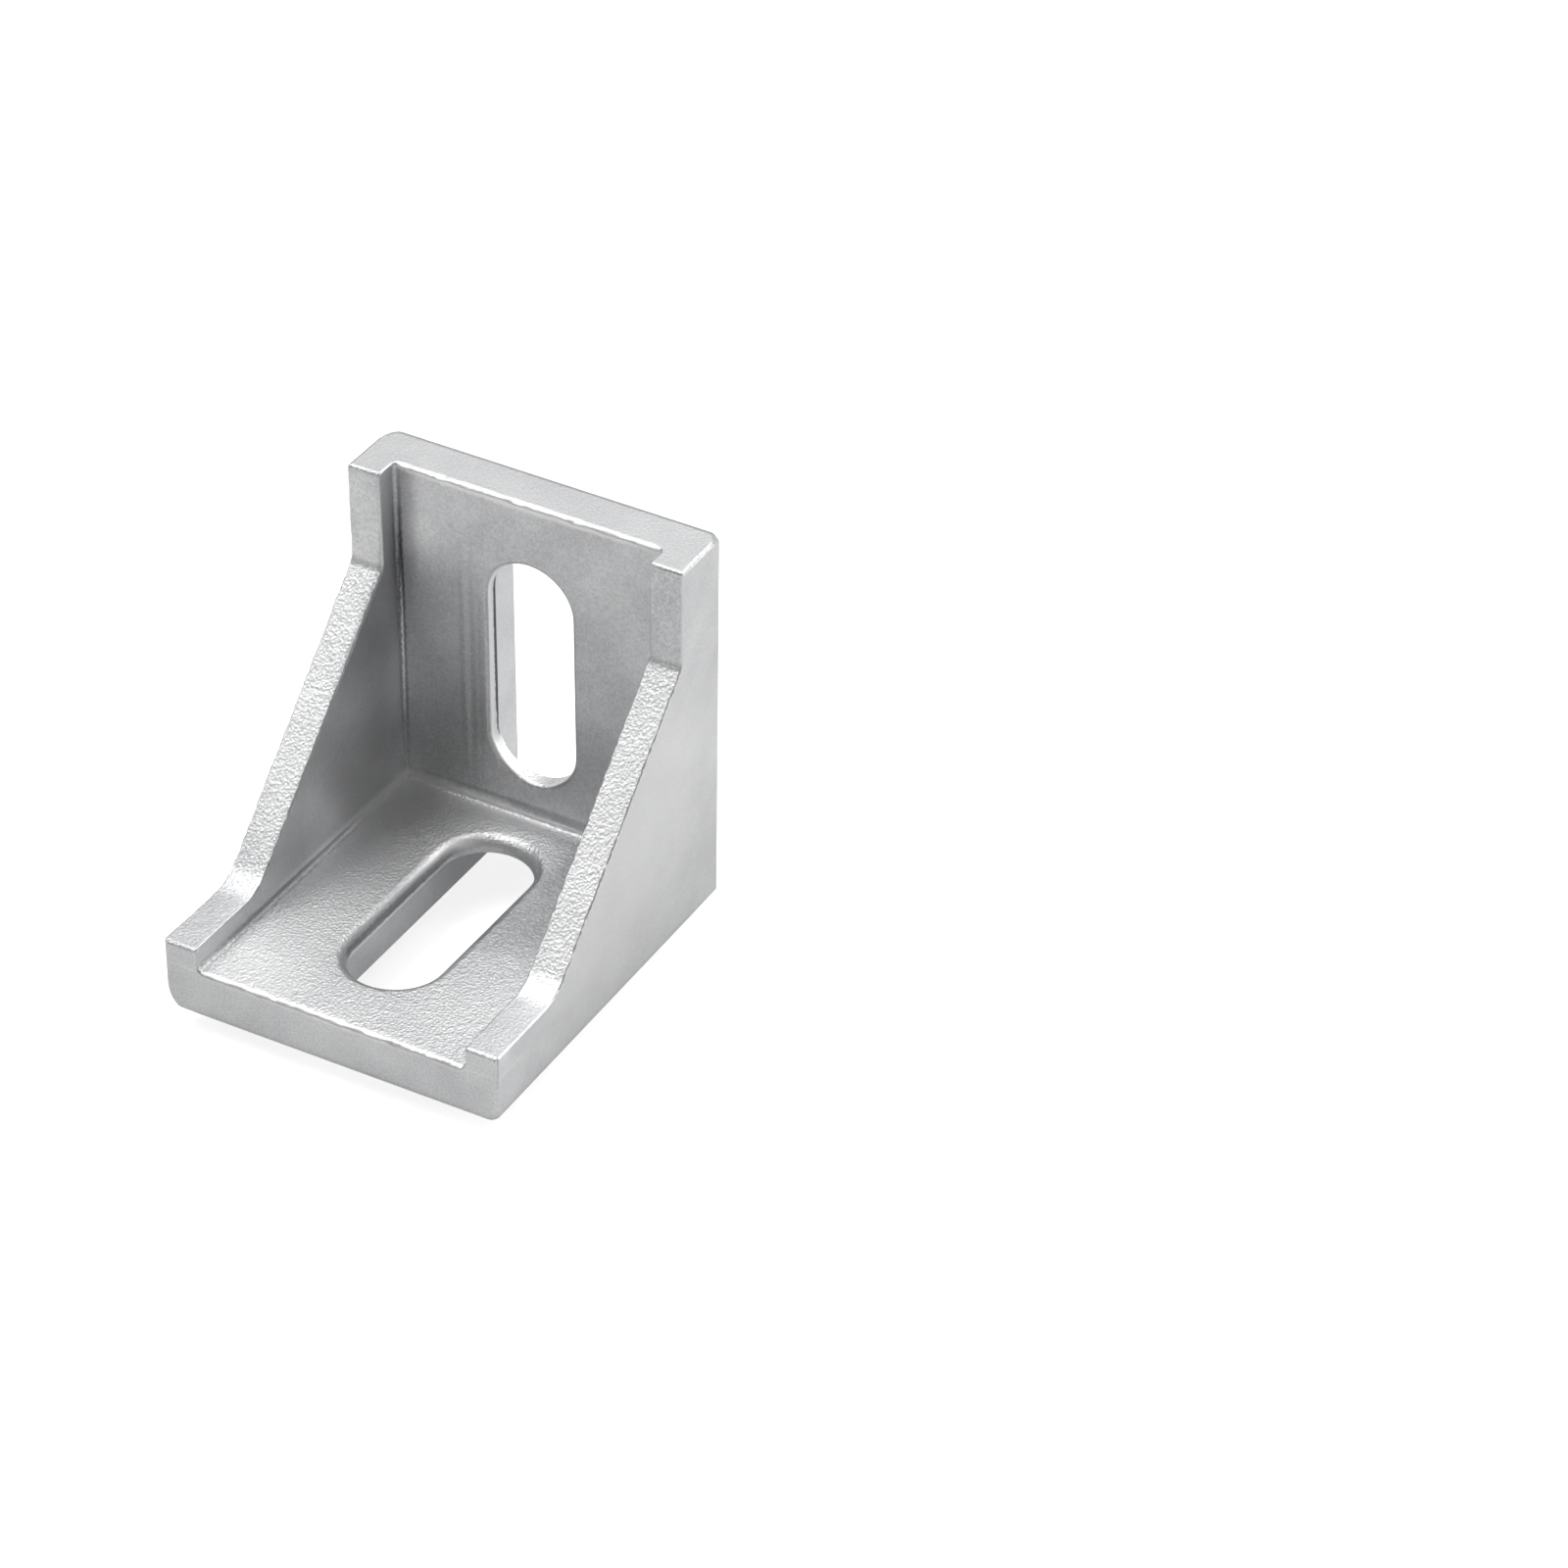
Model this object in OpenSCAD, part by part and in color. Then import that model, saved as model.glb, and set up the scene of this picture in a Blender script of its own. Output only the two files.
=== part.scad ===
// T slot corner bracket: a die-cast right-angle bracket that screws two slotted profiles together.
// +X runs across the width, +Y towards the back profile and +Z up. All sizes are in mm.
// The origin is the middle of the outer corner edge, where the base mounting face (z = 0)
// meets the back mounting face (y = 0). The base leg runs to -Y and the back leg to +Z.

/* [Legs] */
// Length of each leg from the outer corner to its end
leg_length = 40; // [39:0.5:43]
// Width across the side webs at their widest
width = 35; // [34:0.5:37]
// Depth of each leg from its mounting face to its inner face
leg_depth = 5.4; // [5.3:0.1:5.7]

/* [Side webs] */
// Thickness of each side web
web_thickness = 3.4; // [3:0.1:3.7]
// Lean of the side webs away from the corner, in degrees, so that the casting leaves its mould
web_draft = 1; // [0.8:0.1:1.5]
// Height of the flat lip at the end of each web, from the mounting face
lip_height = 7.7; // [7.3:0.1:8.6]
// Length of that lip, up to where the slanted edge would meet it
lip_length = 10.1; // [9.2:0.1:11]
// Radius that blends the base leg's lip into the slanted edge
base_blend_radius = 5; // [2:0.5:8]
// Radius that blends the back leg's lip into the slanted edge
back_blend_radius = 1.7; // [1:0.1:8]

/* [Edges] */
// Radius of the long outer edges between the webs and the mounting faces
long_edge_radius = 1.7; // [1.2:0.1:1.9]
// Radius between each leg's end and its mounting face
end_edge_radius = 1.2; // [0.8:0.1:1.3]
// Radius between each leg's end and the lips and outer sides of the webs
web_end_radius = 0.4; // [0.3:0.1:0.6]
// Radius of the outer corner edge
corner_edge_radius = 0.4; // [0.3:0.1:0.5]
// Radius in the inner corners, where webs and legs meet
root_radius = 0.4; // [0.3:0.1:0.6]

/* [Slots] */
// Width of the screw slot in each leg
slot_width = 9; // [8.4:0.1:9.2]
// Length of the slot, end to end
slot_length = 23.9; // [22:0.1:24.1]
// Distance from the outer corner to the middle of the slot
slot_centre = 21.4; // [21.3:0.1:21.6]
// Radius of the slot's rim on the inner face
slot_rim_radius = 1.2; // [0.8:0.1:1.4]

/* [Hollows of the mounting faces] */
// Thickness of the plate that is left between the hollows and the inner face
plate_thickness = 1.6; // [1.6:0.1:1.9]
// Width of the channel behind the slot, at the mounting face
channel_width = 9.9; // [9.6:0.1:10.1]
// Distance from the outer corner to the far end of the channel
channel_end = 32.9; // [32.4:0.1:33.2]
// Thickness of each rib beside the channel
rib_thickness = 2.2; // [1.8:0.1:2.4]
// Distance from the outer corner to the far end of the side pockets
pocket_end = 37.4; // [37:0.1:37.8]
// Thickness of the wall between a side pocket and the outside
rim_thickness = 2.95; // [2.6:0.05:3.2]

/* [Locating tabs] */
// Height of the tabs that drop into the profile's slot
tab_height = 1.7; // [1.2:0.1:2]
// Width of a tab at the mounting face
tab_width = 8; // [7.6:0.1:8.2]
// Width of a tab at its tip
tab_tip_width = 7.4; // [7:0.1:7.6]
// Distance from the outer corner to the foot of the outer tab's ramp
tab_ramp_end = 36.5; // [36:0.1:36.9]

/* [Hidden] */
// Curves are true arcs in the exact build, and this fineness in the preview.
$fn = 64;
// How far a cutting shape runs past the surface that it cuts.
clear = 2;
// A round is this much larger than its tangent arc, so that it crosses the faces beside it, not grazes them.
crossing = 0.001;
// Farther than any point of the bracket from the origin.
reach = 120;
// The diagonal wall that closes the pockets starts here at the mounting face and leans inwards.
pocket_start = 0.95;
pocket_lean = 1.45;
// The same for the channel, whose wall also forms the inner face of the corner tab.
channel_start = 4.95;
channel_lean = 1.15;
// Inward lean of the other walls of the hollows, per mm of depth.
end_lean = 0.12;
wall_lean = 0.035;
// The corner tab's outer face stands this far from the outer corner.
corner_tab_start = 0.8;
tab_face_lean = 0.1;
// Narrow flat at the tip of the outer tab, before its ramp begins.
tab_tip_flat = 0.3;
// How far a tab is rooted in the leg.
tab_root = 0.5;
// The outer tab is drawn this far into the channel, which trims it.
tab_overlap = 1;
// The cut of a pocket starts this far outside the mounting face, and the channel's this far past the tabs.
pocket_mouth = 0.5;
past_tabs = 1;

pocket_depth = leg_depth - plate_thickness;
draft_rise = tan(web_draft);
// Distance of the lips' outer corners from the outer corner edge, along the 45 degree parting direction.
widest_at = (leg_length + lip_height) / sqrt(2);
corner_half_width = width / 2 - draft_rise * widest_at;
inner_corner_at = sqrt(2) * leg_depth;
inner_half_width = corner_half_width + draft_rise * inner_corner_at - web_thickness;
// Tilt of an edge between a web's outer face and a mounting face, seen along Y or Z.
edge_tilt = atan(draft_rise / sqrt(2));
// Angle that such an edge's round turns through.
edge_turn = acos(sin(web_draft) / sqrt(2));
channel_half = channel_width / 2;
pocket_inner = channel_half + rib_thickness;
pocket_outer = width / 2 - rim_thickness;
slot_radius = slot_width / 2;
slot_straight = slot_length - slot_width;

// Extrudes a side view across the width. Its x is the distance from the back face, and its y the height.
module across(length = width + 2 * clear) {
    rotate([90, 0, -90])
        linear_extrude(length, center = true)
            children();
}

// Extrudes a cross-section of the base leg along the leg. In the section, x is X and y is the height.
module along(length = leg_length) {
    rotate([90, 0, 0])
        linear_extrude(length)
            children();
}

// Repeats the base leg's shapes on the back leg.
module both_legs() {
    children();
    mirror([0, 1, 1])
        children();
}

module both_sides() {
    children();
    mirror([1, 0, 0])
        children();
}

// What a round of this radius removes from the corner of a quadrant whose corner is the origin.
module corner_scrap(radius) {
    difference() {
        translate([-clear, -clear])
            square(radius + clear);
        translate([radius, radius])
            circle(radius + crossing);
    }
}

// What fills the 135 degree corner between a lip along +x and the slanted edge, up to an arc.
module blend(radius) {
    tangent = radius * tan(22.5);
    difference() {
        polygon([[0, 0], [tangent, 0], [tangent, radius], [-tangent / sqrt(2), tangent / sqrt(2)]]);
        translate([tangent, radius])
            circle(radius + crossing);
    }
}

// Side view of a web: the triangle with its slanted edge between the two lips.
module web_view() {
    slant = leg_length - lip_length;
    difference() {
        polygon([
            [0, 0],
            [leg_length, 0],
            [leg_length, lip_height],
            [slant, lip_height],
            [lip_height, slant],
            [lip_height, leg_length],
            [0, leg_length]
        ]);
        corner_scrap(corner_edge_radius);
        translate([leg_length, 0])
            mirror([1, 0])
                corner_scrap(end_edge_radius);
        translate([leg_length, lip_height])
            rotate(180)
                corner_scrap(web_end_radius);
        translate([0, leg_length])
            mirror([0, 1])
                corner_scrap(end_edge_radius);
        translate([lip_height, leg_length])
            rotate(180)
                corner_scrap(web_end_radius);
    }
    translate([slant, lip_height])
        blend(base_blend_radius);
    mirror([1, -1])
        translate([slant, lip_height])
            blend(back_blend_radius);
}

// Everything outside the leaning face of the web on the +X side.
module beyond_web(half_width) {
    rotate([45, 0, 0])
        translate([half_width, 0, 0])
            rotate([0, web_draft, 0])
                translate([0, -reach, -reach])
                    cube([reach, 2 * reach, 2 * reach]);
}

// What a round removes along an edge that the origin lies on. The edge tilts with the web,
// and the round turns through the given angle from the face above it to the web's face.
module edge_scrap(radius, turn) {
    span = radius + clear;
    rotate([0, edge_tilt, 0])
        translate([0, 0, -reach])
            linear_extrude(2 * reach)
                translate([-radius * tan(turn / 2), -radius])
                    difference() {
                        polygon([
                            [0, 0],
                            [0, span],
                            [span * sin(turn), span * (1 + cos(turn))],
                            [span * sin(turn), span * cos(turn)]
                        ]);
                        circle(radius + crossing);
                    }
}

// The two leaning faces and the long rounded edges, as what they remove from a block.
module lean_scrap(half_width, radius) {
    both_sides() {
        beyond_web(half_width);
        both_legs()
            translate([half_width, 0, 0])
                edge_scrap(radius, edge_turn);
    }
}

// The casting before it is hollowed.
module envelope() {
    difference() {
        across(width + clear)
            web_view();
        lean_scrap(corner_half_width, long_edge_radius);
        both_sides()
            both_legs()
                translate([corner_half_width + draft_rise * leg_length / sqrt(2), -leg_length, 0])
                    mirror([0, 1, 0])
                        edge_scrap(web_end_radius, 180 - edge_turn);
    }
}

// The room between the webs, where the screw heads and the driver go.
module inner_room() {
    translate([0, -leg_depth, leg_depth])
        difference() {
            across()
                difference() {
                    square(leg_length + clear);
                    corner_scrap(root_radius);
                }
            lean_scrap(inner_half_width, root_radius);
        }
}

// A hollow in the mounting face: its side view and its cross-section, both narrowing with depth.
module hollow(start, lean, end, inner, outer, mouth) {
    intersection() {
        across()
            polygon([
                [start - mouth * lean, -mouth],
                [end + mouth * end_lean, -mouth],
                [end - pocket_depth * end_lean, pocket_depth],
                [start + pocket_depth * lean, pocket_depth]
            ]);
        along()
            polygon([
                [inner - mouth * wall_lean, -mouth],
                [outer + mouth * wall_lean, -mouth],
                [outer - pocket_depth * wall_lean, pocket_depth],
                [inner + pocket_depth * wall_lean, pocket_depth]
            ]);
    }
}

// The channel runs out past the tabs, so that it also cuts their inner faces.
module channel() {
    hollow(channel_start, channel_lean, channel_end, -channel_half, channel_half, tab_height + past_tabs);
}

module pockets() {
    both_sides()
        hollow(pocket_start, pocket_lean, pocket_end, pocket_inner, pocket_outer, pocket_mouth);
}

// Section of the slot's softened rim, with the slot's middle line at x = 0.
module rim_section() {
    difference() {
        translate([slot_radius - slot_rim_radius, leg_depth - slot_rim_radius])
            square(2 * slot_rim_radius);
        translate([slot_radius + slot_rim_radius, leg_depth - slot_rim_radius])
            circle(slot_rim_radius + crossing);
    }
}

module slot() {
    translate([0, -slot_centre, pocket_depth])
        linear_extrude(plate_thickness + clear) {
            square([slot_width, slot_straight], center = true);
            for (end = [-1, 1])
                translate([0, end * slot_straight / 2])
                    circle(slot_radius);
        }
    translate([0, -slot_centre, 0]) {
        both_sides()
            translate([0, slot_straight / 2, 0])
                along(slot_straight)
                    rim_section();
        translate([0, slot_straight / 2, 0])
            rotate_extrude(angle = 180)
                rim_section();
        translate([0, -slot_straight / 2, 0])
            rotate([0, 0, 180])
                rotate_extrude(angle = 180)
                    rim_section();
    }
}

// Cross-section of a tab, narrower at its tip so that it finds the profile's slot.
module tab_section() {
    side_lean = (tab_width - tab_tip_width) / 2 / tab_height;
    tip = tab_tip_width / 2;
    foot = tab_width / 2 + side_lean * tab_root;
    polygon([[-tip, -tab_height], [tip, -tab_height], [foot, tab_root], [-foot, tab_root]]);
}

// Outer tab: upright beside the channel, with a ramp towards the leg's end.
module outer_tab() {
    tip_end = channel_end + tab_height * end_lean + tab_tip_flat;
    intersection() {
        across()
            polygon([
                [channel_end - tab_overlap, tab_root],
                [channel_end - tab_overlap, -tab_height],
                [tip_end, -tab_height],
                [tab_ramp_end, 0],
                [tab_ramp_end, tab_root]
            ]);
        along()
            tab_section();
    }
}

// Corner tab: its inner face is the outer end of the channel's diagonal wall.
module corner_tab() {
    intersection() {
        across()
            polygon([
                [corner_tab_start - tab_root * tab_face_lean, tab_root],
                [corner_tab_start + tab_height * tab_face_lean, -tab_height],
                [channel_start, -tab_height],
                [channel_start, tab_root]
            ]);
        along()
            tab_section();
    }
}

module tabs() {
    outer_tab();
    corner_tab();
}

module leg_cuts() {
    channel();
    pockets();
    slot();
}

module bracket() {
    color([0.76, 0.77, 0.78])
        difference() {
            union() {
                envelope();
                both_legs()
                    tabs();
            }
            inner_room();
            both_legs()
                leg_cuts();
        }
}

bracket();
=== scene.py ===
from math import cos, radians, sin, tan

import bmesh
import bpy
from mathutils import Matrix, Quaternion, Vector, noise


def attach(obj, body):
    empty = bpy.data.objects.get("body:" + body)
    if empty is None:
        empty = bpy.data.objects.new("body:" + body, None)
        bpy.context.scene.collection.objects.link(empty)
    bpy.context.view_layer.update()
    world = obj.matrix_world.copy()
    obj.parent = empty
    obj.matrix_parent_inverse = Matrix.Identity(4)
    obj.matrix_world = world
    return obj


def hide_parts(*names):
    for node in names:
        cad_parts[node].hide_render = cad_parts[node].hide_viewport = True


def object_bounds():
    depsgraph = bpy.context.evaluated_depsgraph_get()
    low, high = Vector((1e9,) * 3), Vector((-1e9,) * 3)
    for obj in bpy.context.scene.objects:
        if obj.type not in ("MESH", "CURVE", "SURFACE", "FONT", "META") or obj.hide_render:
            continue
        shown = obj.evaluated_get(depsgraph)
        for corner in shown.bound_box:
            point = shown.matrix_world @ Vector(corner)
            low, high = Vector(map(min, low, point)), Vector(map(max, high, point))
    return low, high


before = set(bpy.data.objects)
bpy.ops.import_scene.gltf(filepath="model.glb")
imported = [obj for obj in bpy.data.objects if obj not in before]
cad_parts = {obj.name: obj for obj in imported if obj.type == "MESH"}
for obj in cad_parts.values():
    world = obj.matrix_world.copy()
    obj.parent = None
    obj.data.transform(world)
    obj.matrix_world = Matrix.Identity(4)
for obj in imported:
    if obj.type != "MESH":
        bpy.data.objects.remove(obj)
cad_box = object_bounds()

# The camera stands in front of the bracket, a little to its right and well above it, and looks
# through a long lens. The bracket is left of the picture's middle.
CAMERA_PLACE = Vector((0.2975, -0.4772, 0.4129))
CAMERA_AIM = Vector((0.0161, 0.0126, 0.0040))
CAMERA_ROLL = radians(0.08)
camera = bpy.data.objects.new("camera", bpy.data.cameras.new("camera"))
camera.data.lens = 172.98
camera.data.sensor_width = 36
camera.data.clip_start = 0.05
camera.data.clip_end = 20
camera.location = CAMERA_PLACE
camera.rotation_mode = "QUATERNION"
camera.rotation_quaternion = (
    (CAMERA_AIM - CAMERA_PLACE).to_track_quat("-Z", "Y") @ Quaternion((0, 0, 1), CAMERA_ROLL)
)
bpy.context.scene.collection.objects.link(camera)
bpy.context.scene.camera = camera

# The casting is one piece of aluminium, pressed into a steel mould and then shot-blasted. Its
# mesh starts from the frame's own solid, whose triangles are first joined to whole faces.
SAME_POINT, SLIVER = 0.000001, 0.00002
FLAT, SHARP = radians(0.5), radians(25)
casting = bpy.data.objects.new("casting", bpy.data.meshes.new("casting"))
bpy.context.scene.collection.objects.link(casting)
shape = bmesh.new()
shape.from_mesh(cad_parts["bracket"].data)
bmesh.ops.remove_doubles(shape, verts=shape.verts, dist=SAME_POINT)
bmesh.ops.dissolve_limit(
    shape, angle_limit=FLAT, use_dissolve_boundaries=False,
    verts=shape.verts, edges=shape.edges, delimit=set(),
)
bmesh.ops.remove_doubles(shape, verts=shape.verts, dist=SLIVER)

# The rim of the upper slot is struck sharper than that of the lower one. What lies on its round
# is drawn towards the slot, onto a smaller round.
RIM_ROUND, SHARP_RIM, HAIR = 0.0012, 0.0004, 0.00001
SLOT_MIDDLE, SLOT_HALF, SLOT_RADIUS, PLATE_TOP = 0.0214, 0.00745, 0.0045, 0.0054
for vert in shape.verts:
    past = vert.co.z - SLOT_MIDDLE
    outward = Vector((vert.co.x, max(abs(past) - SLOT_HALF, 0) * (1 if past > 0 else -1)))
    inset, depth = outward.length - SLOT_RADIUS, PLATE_TOP + vert.co.y
    if depth < RIM_ROUND + HAIR and -HAIR < inset < RIM_ROUND + HAIR:
        start = SLOT_RADIUS + inset
        inset, depth = inset * SHARP_RIM / RIM_ROUND, depth * SHARP_RIM / RIM_ROUND
        outward *= (SLOT_RADIUS + inset) / start - 1
        vert.co += Vector((outward.x, 0, outward.y))
        vert.co.y = depth - PLATE_TOP


def past_corner(place):
    """How far a place is along its leg, and how far it is from that leg's mounting face."""
    return max(-place.y, place.z), min(-place.y, place.z)


# Every sharp edge is rounded. The round is narrow in the hollows of the mounting faces, wider
# along the webs, and widest at the end of each plate, where the mould left a worn flash line.
# It narrows again over the root of each web.
HOLLOW_ROUND, WEB_ROUND, END_ROUND = 0.00006, 0.00018, 0.00055
ROOT_START, ROOT_END = 0.0136, 0.01405
LEG_END, TOUCH = cad_box[1].z, 0.0001
weight = shape.edges.layers.float.new("bevel_weight_edge")
for edge in shape.edges:
    if edge.calc_face_angle(0) < SHARP:
        continue
    middle = (edge.verts[0].co + edge.verts[1].co) / 2
    along, above = past_corner(middle)
    width = WEB_ROUND
    if above < PLATE_TOP - TOUCH:
        width = HOLLOW_ROUND
    elif along > LEG_END - TOUCH:
        over_root = (abs(middle.x) - ROOT_START) / (ROOT_END - ROOT_START)
        width = END_ROUND + (WEB_ROUND - END_ROUND) * min(max(over_root, 0), 1)
    edge[weight] = width / END_ROUND
for face in shape.faces:
    face.smooth = True
shape.to_mesh(casting.data)
shape.free()

# The rounds go to the second material, which also tells them from the faces beside them.
SKIN, RUBBED = 0, 1
for name in ("cast_skin", "rubbed_edge"):
    casting.data.materials.append(bpy.data.materials.new(name))
rounds = casting.modifiers.new("rounds", "BEVEL")
rounds.limit_method = "WEIGHT"
rounds.width = END_ROUND
rounds.segments = 4
rounds.use_clamp_overlap = False
rounds.material = RUBBED
rounded = casting.evaluated_get(bpy.context.evaluated_depsgraph_get()).to_mesh()
shape = bmesh.new()
shape.from_mesh(rounded)
casting.modifiers.clear()

# Each face remembers its size, also in all pieces that it is cut into. Where the surface turns,
# the larger face keeps its own direction and the smaller ones bend towards it.
spread = shape.faces.layers.float.new("spread")
for face in shape.faces:
    face[spread] = face.calc_area()

# The visible rounds are cut crosswise into short steps, all edges that cross one stretch alike.
STEP = 0.00018
HOLLOW_TOP = PLATE_TOP - END_ROUND - TOUCH


def is_round(face):
    """Whether a face belongs to a visible round and can be cut crosswise."""
    along, above = past_corner(face.calc_center_median())
    return face.material_index == RUBBED and len(face.verts) == 4 and above > HOLLOW_TOP


def facing_edge(face, edge):
    """The edge of a four-sided face that lies across from another."""
    corner = next(loop for loop in face.loops if loop.edge == edge)
    return corner.link_loop_next.link_loop_next.edge


stretches, taken = [], set()
for face in filter(is_round, shape.faces):
    longest = max(face.edges, key=lambda edge: edge.calc_length())
    cuts = round(longest.calc_length() / STEP) - 1
    if longest in taken or cuts < 1:
        continue
    stretch, open_ends = {longest}, [longest]
    while open_ends:
        edge = open_ends.pop()
        for near in filter(is_round, edge.link_faces):
            facing = facing_edge(near, edge)
            if facing not in stretch:
                stretch.add(facing)
                open_ends.append(facing)
    taken |= stretch
    stretches.append((list(stretch), cuts))
for stretch, cuts in stretches:
    bmesh.ops.subdivide_edges(shape, edges=stretch, cuts=cuts, use_grid_fill=True)

# Tumbling has worn the six outer corners of the mounting faces round. The faces around each one
# are cut into small squares, and what stands out of a ball there is pressed back onto it. The cut
# that is farthest from the corner comes first, and the others end at it.
CORNER_REACH, CORNER_STEP, BALL_INSET, BALL_RADIUS = 0.0026, 0.00026, 0.0026, 0.0035
CORNER_CUTS = round(CORNER_REACH / CORNER_STEP)
SIDE_END, SIDE_LEAN = 0.01741, 0.01234
# A corner is on the left or right side, and at the toe of the base, at the top or at neither.
for side, toe, top in (
    (-1, 0, 1), (1, 0, 1), (-1, 0, 0), (1, 0, 0), (-1, 1, 0), (1, 1, 0),
):
    # Both sides draw in a little towards the corner edge that the legs share.
    half_width = SIDE_END - SIDE_LEAN * LEG_END * (1 - toe - top)
    tip = Vector((side * half_width, -toe * LEG_END, top * LEG_END))
    inward = Vector((-side, -1 + 2 * toe, 1 - 2 * top))

    def in_corner(face):
        return all(
            min((v.co[i] - tip[i]) * inward[i] for v in face.verts) < CORNER_REACH for i in range(3)
        )

    near = [face for face in shape.faces if in_corner(face)]
    for count in (CORNER_CUTS, *range(1, CORNER_CUTS)):
        for axis in range(3):
            near = [face for face in near if in_corner(face)]
            parts = set(near)
            for face in near:
                parts.update(face.edges, face.verts)
            cut = bmesh.ops.bisect_plane(
                shape, geom=list(parts), dist=HAIR,
                plane_no=Vector([float(i == axis) for i in range(3)]),
                plane_co=tip + inward * count * CORNER_STEP,
            )
            near = [part for part in cut["geom"] if isinstance(part, bmesh.types.BMFace)]
    middle = tip + inward * BALL_INSET
    for vert in shape.verts:
        out = vert.co - middle
        if out.length > BALL_RADIUS and all(out[i] * inward[i] < 0 for i in range(3)):
            vert.co = middle + out.normalized() * BALL_RADIUS
    for face in filter(in_corner, near):
        face[spread] = face.calc_area()

# The steps then wander, so that the edges look cast and blasted, and alike in every run. A point
# at the border of a round stays in the plane of the face beside it, and none leaves the solid's box.
LIP_LENGTH, ONE_PLANE = 0.0101, 0.9999
WANDER_SEED, WAVE_LENGTH, CRUMB_SIZE = 1, 0.0013, 0.0003
END_WANDER, SLANT_WANDER, CALM_WANDER = (0.00011, 0.00005), (0.00006, 0.00008), (0.00004, 0.00003)
noise.seed_set(WANDER_SEED)
shape.normal_update()
moves = []
for vert in {v for face in filter(is_round, shape.faces) for v in face.verts}:
    along, above = past_corner(vert.co)
    wave, crumb = CALM_WANDER
    if along > LEG_END - END_ROUND - TOUCH and above < PLATE_TOP + TOUCH:
        wave, crumb = END_WANDER
    elif along < LEG_END - LIP_LENGTH and above > PLATE_TOP + TOUCH:
        wave, crumb = SLANT_WANDER
    move = noise.noise_vector(vert.co / WAVE_LENGTH) * wave
    move += noise.noise_vector(vert.co / CRUMB_SIZE) * crumb
    beside = [face.normal for face in vert.link_faces if face.material_index == SKIN]
    if any(normal.dot(beside[0]) < ONE_PLANE for normal in beside):
        continue
    if beside:
        move -= move.project(beside[0])
    moves.append((vert, move))
for vert, move in moves:
    vert.co += move
for vert in shape.verts:
    for axis in range(3):
        vert.co[axis] = min(max(vert.co[axis], cad_box[0][axis]), cad_box[1][axis])

# Each face remembers how coarse its grain is. The blast hit the slanted edges, the base plate and
# the mounting faces hardest, and hardly the rounds and the sides that the mould had drawn smooth.
SLANT_GRAIN, MOUNTING_GRAIN, BASE_GRAIN = 0.75, 0.8, 0.8
LIP_GRAIN, PLAIN_GRAIN, DRAWN_GRAIN = 0.55, 0.3, 0.1
SLANT, FACING = Vector((0, -1, 1)).normalized(), 0.9
grain = shape.faces.layers.float.new("grain")
for face in shape.faces:
    middle = face.calc_center_median()
    along, above = past_corner(middle)
    outward = -face.normal.z if -middle.y > middle.z else face.normal.y
    if face.material_index == RUBBED or abs(face.normal.x) > FACING:
        face[grain] = DRAWN_GRAIN
    elif face.normal.dot(SLANT) > FACING:
        face[grain] = SLANT_GRAIN
    elif above < HOLLOW_TOP and outward > FACING:
        face[grain] = MOUNTING_GRAIN
    elif face.normal.z > FACING and along < LEG_END - TOUCH and above < PLATE_TOP + TOUCH:
        face[grain] = BASE_GRAIN
    elif above > PLATE_TOP + TOUCH:
        face[grain] = LIP_GRAIN
    else:
        face[grain] = PLAIN_GRAIN

# The light sees each point lean as the faces around it do, and the larger ones count for more.
shape.normal_update()
leans = []
for vert in shape.verts:
    lean = Vector()
    for loop in vert.link_loops:
        lean += loop.face.normal * loop.face[spread] * loop.calc_angle()
    leans.append(lean.normalized())
shape.to_mesh(casting.data)
shape.free()
casting.data.normals_split_custom_set_from_vertices(leans)
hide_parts("bracket")
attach(casting, "root")


def build(tree, kind, inputs, **settings):
    """Adds a shader node. An input is a value, or the output that feeds it."""
    made = tree.nodes.new("ShaderNode" + kind)
    for name, value in settings.items():
        setattr(made, name, value)
    for name, value in inputs.items():
        if isinstance(value, bpy.types.NodeSocket):
            tree.links.new(value, made.inputs[name])
        else:
            made.inputs[name].default_value = value
    return made


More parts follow.
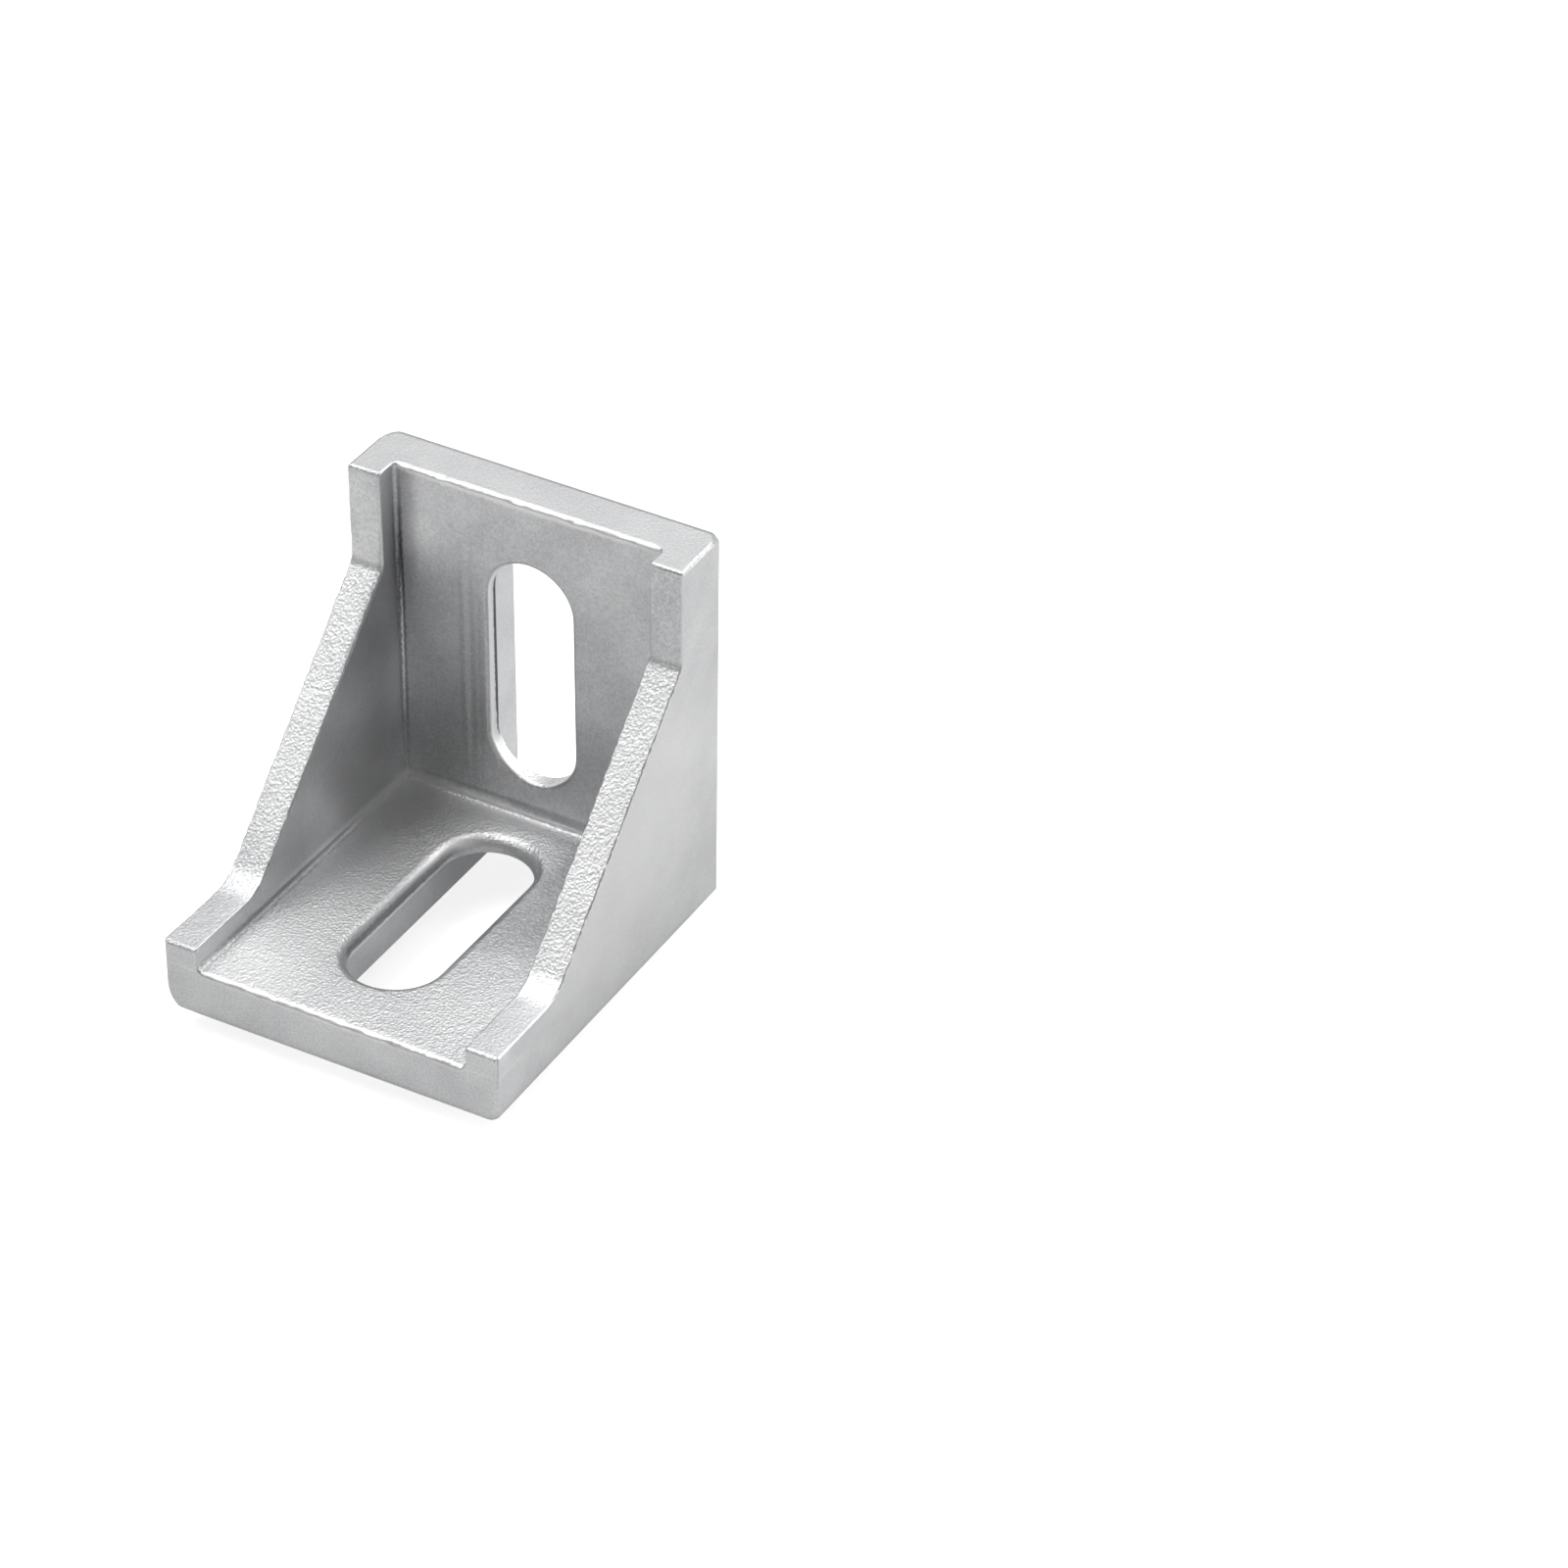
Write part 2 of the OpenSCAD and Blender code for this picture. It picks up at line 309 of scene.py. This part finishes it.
# The marks of the mould, and painted light and shade, each as a long or flat ball with a soft
# skin: its middle and half its size in millimetres, the share of its size that fades, and how much
# brighter it is, or darker where that is below zero.
MARKS_AND_PAINTED_LIGHT = (
    # painted light and shade over broad areas: brighter on the left of the base, at its right toe,
    # on the right web and on the left slanted edge; darker on the right middle of the base, on the
    # lower back plate and on the left web's inner face
    ((-10, -18, 5.4), (7, 19, 1), 0.6, 0.6),
    ((-8, -8, 5.4), (10, 7, 1), 0.6, 0.8),
    ((9, -15, 5.4), (6, 11, 1), 0.5, -0.25),
    ((9, -30, 5.4), (6, 5, 1), 0.5, 0.4),
    ((0, -5.4, 11), (11.5, 0.6, 7), 0.45, -0.25),
    ((-13.9, -20, 18), (0.5, 15, 14), 0.3, -0.3),
    ((-13.9, -11, 28), (0.6, 8.5, 8.5), 0.4, -0.4),
    ((16.2, -20, 18), (2.6, 18, 16), 0.4, 0.5),
    ((-15.9, -16, 21), (2, 16, 16), 0.4, 0.4),
    # the brighter end of the base plate, past the seam of the mould
    ((0, -37.6, 5.4), (22, 4, 0.35), 0.1, 0.22),
    ((-1, -34.1, 5.4), (12, 0.12, 0.4), 0.4, -0.5),
    # the wall of the lower slot: painted shade under its rim, and a painted reflection of the
    # floor along its lower edge
    ((-4.5, -21.4, 4.6), (0.5, 12, 0.4), 0.3, -0.6),
    ((-4.5, -21.4, 4.0), (0.4, 12, 0.2), 0.4, 1),
    # the wall of the upper slot: a painted highlight under its rim and painted shade along its
    # lower edge
    ((-4.5, -4.9, 22.5), (0.5, 0.4, 10.5), 0.3, 0.5),
    ((-4.5, -4.05, 22.2), (0.4, 0.26, 10), 0.25, -1),
    # the torn edge at the lower left of the upper slot and the wall under it, both facing up,
    # brightened by a painted highlight
    ((-2.9, -5.05, 11.4), (2.6, 0.3, 3), 0.3, 0.8),
    ((0.3, -5.05, 9.6), (2.6, 0.3, 0.8), 0.3, 0.8),
    ((0, -4.4, 9.6), (6, 0.85, 2.4), 0.3, 1),
    # drag marks beside the upper slot, and painted shade along the root of the left web high on
    # the back plate
    ((-7.3, -5.4, 22), (0.25, 0.4, 9), 0.7, -0.16),
    ((-6.7, -5.4, 20), (0.22, 0.4, 9), 0.7, 0.3),
    ((-6.1, -5.4, 21), (0.28, 0.4, 10), 0.7, -0.16),
    ((-5.3, -5.4, 20.5), (0.25, 0.4, 9), 0.7, -0.12),
    ((-13, -5.4, 34), (1.1, 0.5, 8), 0.6, -0.3),
    # the root of the back plate on the base plate: a painted highlight under painted shade
    ((0, -5.5, 5.75), (12.5, 0.45, 0.2), 0.3, 0.9),
    ((0, -5.4, 6.5), (12.5, 0.4, 0.5), 0.35, -0.3),
    # the roots of the left web are darkened with painted shade, but for a painted highlight in
    # the upper one
    ((-13.7, -22, 5.6), (0.45, 19, 0.4), 0.3, -0.65),
    ((-13.55, -5.5, 22), (0.3, 0.4, 17), 0.5, -0.5),
    ((-13.6, -5.6, 21.5), (0.1, 0.4, 7), 0.6, 0.8),
)
# The pale torn flash along the ends of both plates, which also shows on their rounds.
FLASH = (
    ((0, -39.7, 5.3), (13, 0.5, 0.5), 0.3, 1),
    ((0, -5.3, 39.7), (13, 0.5, 0.5), 0.3, 1),
)

# The skin is matt silver-grey. Fine blasted grain lies over a faint swell, and the colour and the
# gloss vary a little with the grain and with broad stains. The rounds are brighter and smoother.
GRAIN_SIZE, PEEN_SIZE, SWELL_SIZE, STAIN_SIZE = 0.00023, 0.0003, 0.0016, 0.006
GRAIN_DEPTH, SWELL_DEPTH = 0.00005, 0.000012
NOISE_MIDDLE, FAINT_FLECK, STRONG_FLECK = 0.5, 0.5, 2.8
DULLEST, PALEST = 0.1, 0.9
RAGGED_SIZE, RAGGED, MM = 0.0005, 0.0003, 0.001
PALE, GLOSSY = (0.9, 0.905, 0.91, 1), 0.4
# The dark tint paints shade as well as the dark marks, and the white one paints highlights and reflections
# as well as the pale marks and the flash.
SHADE_AND_DARK_MARKS, HIGHLIGHT_AND_PALE_MARKS = (0.12, 0.12, 0.13, 1), (1, 1, 1, 1)
for skin, marks, dull, matt in (
    (casting.data.materials[SKIN], MARKS_AND_PAINTED_LIGHT + FLASH, (0.66, 0.665, 0.675, 1), 0.52),
    (casting.data.materials[RUBBED], FLASH, (0.78, 0.785, 0.79, 1), 0.48),
):
    skin.use_nodes = True
    tree = skin.node_tree
    here = build(tree, "TexCoord", {}).outputs["Object"]
    blasted = build(tree, "Attribute", {}, attribute_name="grain").outputs["Fac"]
    blast, swell, stain = (
        build(tree, "TexNoise", {"Vector": here, "Scale": 1 / size, "Detail": detail}).outputs["Fac"]
        for size, detail in ((GRAIN_SIZE, 2), (SWELL_SIZE, 2), (STAIN_SIZE, 3))
    )
    peen = build(tree, "TexVoronoi", {"Vector": here, "Scale": 1 / PEEN_SIZE}).outputs["Distance"]
    pitted = build(tree, "Math", {0: blast, 1: peen}, operation="ADD").outputs[0]
    height = build(tree, "Math", {0: pitted, 1: blasted}, operation="MULTIPLY").outputs[0]
    waved = build(tree, "Bump", {"Height": swell, "Distance": SWELL_DEPTH}).outputs[0]
    rough = build(tree, "Bump", {"Height": height, "Distance": GRAIN_DEPTH, "Normal": waved}).outputs[0]

    # Where the blast hit harder, its grain also shows more in the colour and in the gloss.
    flecks = {"Value": blasted, "To Min": FAINT_FLECK, "To Max": STRONG_FLECK}
    fleck = build(tree, "MapRange", flecks).outputs[0]
    level = build(tree, "Math", {0: blast, 1: NOISE_MIDDLE}, operation="SUBTRACT").outputs[0]
    tone = build(tree, "Math", {0: level, 1: fleck, 2: stain}, operation="MULTIPLY_ADD").outputs[0]
    tones = {"Value": tone, "From Min": DULLEST, "From Max": PALEST}
    share = build(tree, "MapRange", tones).outputs[0]
    color = build(tree, "Mix", {"Factor": share, "A": dull, "B": PALE}, data_type="RGBA").outputs["Result"]
    shine = build(tree, "MapRange", {**tones, "To Min": matt, "To Max": GLOSSY}).outputs[0]

    # The marks and the painted light and shade are laid over the colour, the dark tint below zero
    # and the white one above. Their sides wander, as torn metal does.
    shaky = build(tree, "TexNoise", {"Vector": here, "Scale": 1 / RAGGED_SIZE, "Detail": 2})
    centred = {0: shaky.outputs["Color"], 1: [NOISE_MIDDLE] * 3}
    shift = build(tree, "VectorMath", centred, operation="SUBTRACT").outputs[0]
    shifted = {0: shift, 1: [RAGGED] * 3, 2: here}
    place = build(tree, "VectorMath", shifted, operation="MULTIPLY_ADD").outputs[0]
    marked = 0
    for middle, half, fade, strength in marks:
        # Measured in its own half sizes, each mark is a ball of radius one around the zero.
        squeeze = [1 / (size * MM) for size in half]
        offset = [-where / size for where, size in zip(middle, half)]
        squeezed = {0: place, 1: squeeze, 2: offset}
        ball = build(tree, "VectorMath", squeezed, operation="MULTIPLY_ADD").outputs[0]
        away = build(tree, "VectorMath", {0: ball}, operation="LENGTH").outputs["Value"]
        border = {"Value": away, "From Min": 1 + fade, "From Max": 1 - fade, "To Max": strength}
        part = build(tree, "MapRange", border, interpolation_type="SMOOTHSTEP").outputs[0]
        marked = build(tree, "Math", {0: part, 1: marked}, operation="ADD").outputs[0]
    for sign, tint in ((-1, SHADE_AND_DARK_MARKS), (1, HIGHLIGHT_AND_PALE_MARKS)):
        signed = {0: marked, 1: sign}
        amount = build(tree, "Math", signed, operation="MULTIPLY", use_clamp=True).outputs[0]
        color = build(
            tree, "Mix", {"Factor": amount, "A": color, "B": tint}, data_type="RGBA",
        ).outputs["Result"]
    shader = tree.nodes["Principled BSDF"]
    shader.inputs["Metallic"].default_value = 1
    tree.links.new(color, shader.inputs["Base Color"])
    tree.links.new(shine, shader.inputs["Roughness"])
    tree.links.new(rough, shader.inputs["Normal"])

# The floor is a wide matt white board, a hair's breadth under the bracket's feet.
# The metal shows its white, and that of the room, only faintly.
BOARD_HALF, BOARD_GREY, BOARD_GLOW, MIRRORED = 3, (0.86, 0.86, 0.86, 1), 0.76, 0.15
floor = bpy.data.objects.new("floor", bpy.data.meshes.new("floor"))
board = bmesh.new()
bmesh.ops.create_grid(board, x_segments=1, y_segments=1, size=BOARD_HALF)
bmesh.ops.translate(board, verts=board.verts, vec=(0, 0, cad_box[0].z - HAIR))
board.to_mesh(floor.data)
board.free()
bpy.context.scene.collection.objects.link(floor)


def how_white(tree):
    """Full strength for the camera, and a small share of it for what the metal mirrors."""
    rays = build(tree, "LightPath", {}).outputs
    parts = {0: rays["Is Glossy Ray"], 1: MIRRORED, 2: rays["Is Camera Ray"]}
    return build(tree, "Math", parts, operation="MULTIPLY_ADD").outputs[0]


paper = bpy.data.materials.new("white_board")
paper.use_nodes = True
tree = paper.node_tree
tree.nodes.clear()
glow = build(tree, "Math", {0: how_white(tree), 1: BOARD_GLOW}, operation="MULTIPLY").outputs[0]
glowing = build(tree, "Emission", {"Strength": glow}).outputs[0]
lit = build(tree, "BsdfDiffuse", {"Color": BOARD_GREY}).outputs[0]
both = build(tree, "AddShader", {0: lit, 1: glowing}).outputs[0]
build(tree, "OutputMaterial", {"Surface": both})
floor.data.materials.append(paper)

# Nine soft round lamps stand in a dome above, behind and beside the bracket. The side of the
# camera has none, so that the corner between the webs goes dark.
LAMP_DISTANCE, LAMP_SPREAD = 1.2, radians(15)
for azimuth, elevation, power in (
    (0, 90, 0.32), (180, 64, 2.68), (240, 64, 1.68), (300, 64, 3.32), (150, 38, 2.78),
    (210, 38, 0.59), (300, 38, 1.19), (330, 38, 0.55), (120, 12, 3.77),
):
    turn, up = radians(azimuth), radians(elevation)
    place = Vector((sin(turn) * cos(up), -cos(turn) * cos(up), sin(up))) * LAMP_DISTANCE
    lamp = bpy.data.objects.new("lamp", bpy.data.lights.new("lamp", "AREA"))
    lamp.data.shape = "DISK"
    lamp.data.size = 2 * LAMP_DISTANCE * tan(LAMP_SPREAD)
    lamp.data.energy = power
    lamp.location = place
    lamp.rotation_mode = "QUATERNION"
    lamp.rotation_quaternion = (-place).to_track_quat("-Z", "Y")
    bpy.context.scene.collection.objects.link(lamp)

# The room is plain white to the camera, and like the floor it is faint in the metal.
world = bpy.data.worlds.new("studio")
world.use_nodes = True
bpy.context.scene.world = world
room = world.node_tree.nodes["Background"]
room.inputs["Color"].default_value = (1, 1, 1, 1)
world.node_tree.links.new(how_white(world.node_tree), room.inputs["Strength"])
bpy.context.scene.view_settings.view_transform = "Standard"
